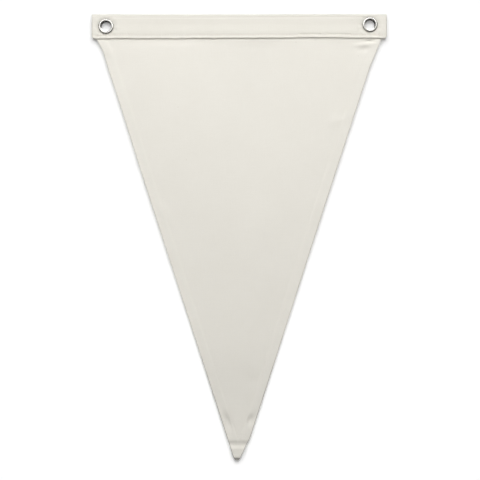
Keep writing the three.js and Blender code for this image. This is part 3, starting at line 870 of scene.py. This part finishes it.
nickel = nickel_material("nickel_plate")
for side, centre in zip(("left", "right"), EYELET_CENTRES):
    eyelet = turned_piece(f"eyelet_{side}_metal", EYELET_PROFILE, 3, centre, RIM_DENTS)
    washer = turned_piece(f"washer_{side}_metal", WASHER_PROFILE, 4, centre, 0)
    for piece, node in ((eyelet, f"eyelet_{side}"), (washer, f"washer_{side}")):
        piece.data.materials.append(nickel)
        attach(piece, "root")
        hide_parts(node)


# Studio: a white wall just behind the flag, seen from the front alone, a pale floor, and a pale
# paper drape hung in a circle round both, for the views from other sides. The wall and the drape
# throw no light on the flag, so that the canvas and the metal keep the soft boxes' shading.
WALL_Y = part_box("eyelet_left")[1][1] + 0.0004
WALL_HALF = 2.0
WALL_TOP = 1.6
WALL_GLOW = 0.06
WALL_TONES = (0.943, 1.268)
WALL_TONE_HEIGHTS = (0.02, -0.46)
FLOOR_Z = -1.50
FLOOR_HALF = 3.0
DRAPE_RADIUS = 2.95
DRAPE_SIDES = 72
DRAPE_HEIGHT = 6.0
DRAPE_FOOT_Z = FLOOR_Z + 0.002
DRAPE_FOOT_TONE = (0.60, 0.60, 0.59, 1)
DRAPE_TOP_TONE = (0.70, 0.70, 0.69, 1)
FLOOR_TONES = ((0.74, 0.74, 0.73, 1), (0.70, 0.70, 0.69, 1))


def stage_piece(name, corners, material, faces=((0, 1, 2, 3),)):
    """A flat-sided stage piece of these corners, by default one face round all four."""
    mesh = bpy.data.meshes.new(name)
    mesh.from_pydata(corners, [], faces)
    mesh.materials.append(material)
    piece = bpy.data.objects.new(name, mesh)
    bpy.context.scene.collection.objects.link(piece)
    return piece


def wall_material():
    """Overexposed white, as in a cut-out studio shot. Its tone goes up in a straight line from the
    flag's top to its point, where less light falls, and a faint glow is added, so that it just clips
    to white in open light and only the flag's contact shadows stay. It is clear from behind."""
    sheet = NodeSheet("wall_paint")
    place = sheet.add("ShaderNodeTexCoord").outputs["Object"]
    height = sheet.add("ShaderNodeSeparateXYZ", {0: place}).outputs["Z"]
    tone = sheet.add("ShaderNodeMapRange", {
        "Value": height, "From Min": WALL_TONE_HEIGHTS[1], "From Max": WALL_TONE_HEIGHTS[0],
        "To Min": WALL_TONES[1], "To Max": WALL_TONES[0],
    }).outputs[0]
    white = sheet.add("ShaderNodeCombineXYZ", {0: tone, 1: tone, 2: tone})
    paint = sheet.add("ShaderNodeBsdfDiffuse", {"Color": white.outputs[0]})
    glow = sheet.add("ShaderNodeEmission", {"Color": (1, 1, 1, 1), "Strength": WALL_GLOW})
    paint = sheet.add("ShaderNodeAddShader", {0: paint.outputs[0], 1: glow.outputs[0]})
    clear = sheet.add("ShaderNodeBsdfTransparent")
    behind = sheet.add("ShaderNodeNewGeometry").outputs["Backfacing"]
    mix = sheet.add("ShaderNodeMixShader", {0: behind, 1: paint.outputs[0], 2: clear.outputs[0]})
    sheet.put(sheet.tree.nodes["Material Output"].inputs["Surface"], mix.outputs[0])
    return sheet.material


def floor_material():
    """Pale matt paint: a noise blends its two tones."""
    sheet = NodeSheet("floor_paint")
    place = sheet.add("ShaderNodeTexCoord").outputs["Object"]
    grain = sheet.add("ShaderNodeTexNoise", {"Vector": place, "Scale": 6.0, "Detail": 3.0})
    colour = sheet.blend(grain.outputs["Fac"], *FLOOR_TONES)
    sheet.put(sheet.shader.inputs["Base Color"], colour)
    sheet.shader.inputs["Roughness"].default_value = 0.8
    return sheet.material


def drape_material():
    """Pale paper drape that glows evenly, ramped up to a little brighter towards its top."""
    sheet = NodeSheet("drape_paper")
    place = sheet.add("ShaderNodeTexCoord").outputs["Object"]
    height = sheet.add("ShaderNodeSeparateXYZ", {0: place}).outputs["Z"]
    tone = sheet.blend(sheet.ramp(height, FLOOR_Z, 1.5), DRAPE_FOOT_TONE, DRAPE_TOP_TONE)
    glow = sheet.add("ShaderNodeEmission", {"Color": tone, "Strength": 1.0})
    sheet.put(sheet.tree.nodes["Material Output"].inputs["Surface"], glow.outputs[0])
    return sheet.material


wall = stage_piece("wall", [
    (-WALL_HALF, WALL_Y, FLOOR_Z), (WALL_HALF, WALL_Y, FLOOR_Z),
    (WALL_HALF, WALL_Y, WALL_TOP), (-WALL_HALF, WALL_Y, WALL_TOP),
], wall_material())
floor = stage_piece("floor", [
    (-FLOOR_HALF, -FLOOR_HALF, FLOOR_Z), (FLOOR_HALF, -FLOOR_HALF, FLOOR_Z),
    (FLOOR_HALF, FLOOR_HALF, FLOOR_Z), (-FLOOR_HALF, FLOOR_HALF, FLOOR_Z),
], floor_material())
floor.visible_glossy = False

# The drape has a foot of its own over the floor, so that the two never meet in a view.
turn = np.linspace(0, 2 * np.pi, DRAPE_SIDES + 1)[:, None]
foot = DRAPE_RADIUS * np.hstack([np.cos(turn), np.sin(turn), np.zeros_like(turn)])
foot[:, 2] = DRAPE_FOOT_Z
around = np.arange(DRAPE_SIDES)
drape_walls = np.stack([around, around + 1, around + DRAPE_SIDES + 2, around + DRAPE_SIDES + 1], -1)
drape = stage_piece("drape", np.concatenate([foot, foot + (0, 0, DRAPE_HEIGHT)]).tolist(),
                    drape_material(), [around.tolist(), *drape_walls.tolist()])
for piece in (wall, drape):
    piece.visible_diffuse = piece.visible_glossy = False
    piece.visible_transmission = piece.visible_shadow = False


def soft_box(name, place, aim, size, power):
    """An area light at place that faces aim: tilted by the angle whose tangent is its distance off
    over its height, and turned to the heading."""
    light = bpy.data.lights.new(name, "AREA")
    light.shape = "RECTANGLE"
    light.size, light.size_y = size
    light.energy = power
    box = bpy.data.objects.new(name, light)
    box.location = place
    toward = np.array(aim, float) - np.array(place, float)
    tilt = np.arctan2(np.hypot(toward[0], toward[1]), -toward[2])
    box.rotation_euler = (tilt, 0, np.arctan2(-toward[0], toward[1]))
    box.visible_camera = False
    bpy.context.scene.collection.objects.link(box)
    return box


# The core makes the key light's middle stronger, as a lamp behind its cloth does, but the eyelets
# don't mirror it.
FLAG_MIDDLE = (0.0, 0.0, -0.20)
soft_box("key_box", (-0.03, -0.92, 0.64), FLAG_MIDDLE, (2.0, 1.5), 8.8)
core = soft_box("key_core", (-0.03, -0.90, 0.62), FLAG_MIDDLE, (1.1, 0.9), 5.7)
core.visible_glossy = False
soft_box("front_box", (0.0, -2.25, 0.57), FLAG_MIDDLE, (3.2, 1.5), 17.4)
soft_box("back_box", (0.3, 1.6, 1.2), FLAG_MIDDLE, (1.4, 1.0), 26)

# Light from all round, dark at the level and below, and pale overhead.
SKY_STRENGTH = 0.305
SKY_DARK = (0.15, 0.15, 0.15, 1)
SKY_PALE = (0.85, 0.85, 0.85, 1)
world = bpy.data.worlds.new("studio")
world.use_nodes = True
bpy.context.scene.world = world
sky = world.node_tree
sky_place = sky.nodes.new("ShaderNodeTexCoord").outputs["Generated"]
sky_parts = sky.nodes.new("ShaderNodeSeparateXYZ")
sky_tone = sky.nodes.new("ShaderNodeValToRGB")
sky.links.new(sky_place, sky_parts.inputs[0])
sky.links.new(sky_parts.outputs["Z"], sky_tone.inputs["Fac"])
sky_low, sky_high = sky_tone.color_ramp.elements
sky_low.color = SKY_DARK
sky_high.position = 0.6
sky_high.color = SKY_PALE
sky.links.new(sky_tone.outputs["Color"], sky.nodes["Background"].inputs["Color"])
sky.nodes["Background"].inputs["Strength"].default_value = SKY_STRENGTH
bpy.context.scene.view_settings.view_transform = "Standard"
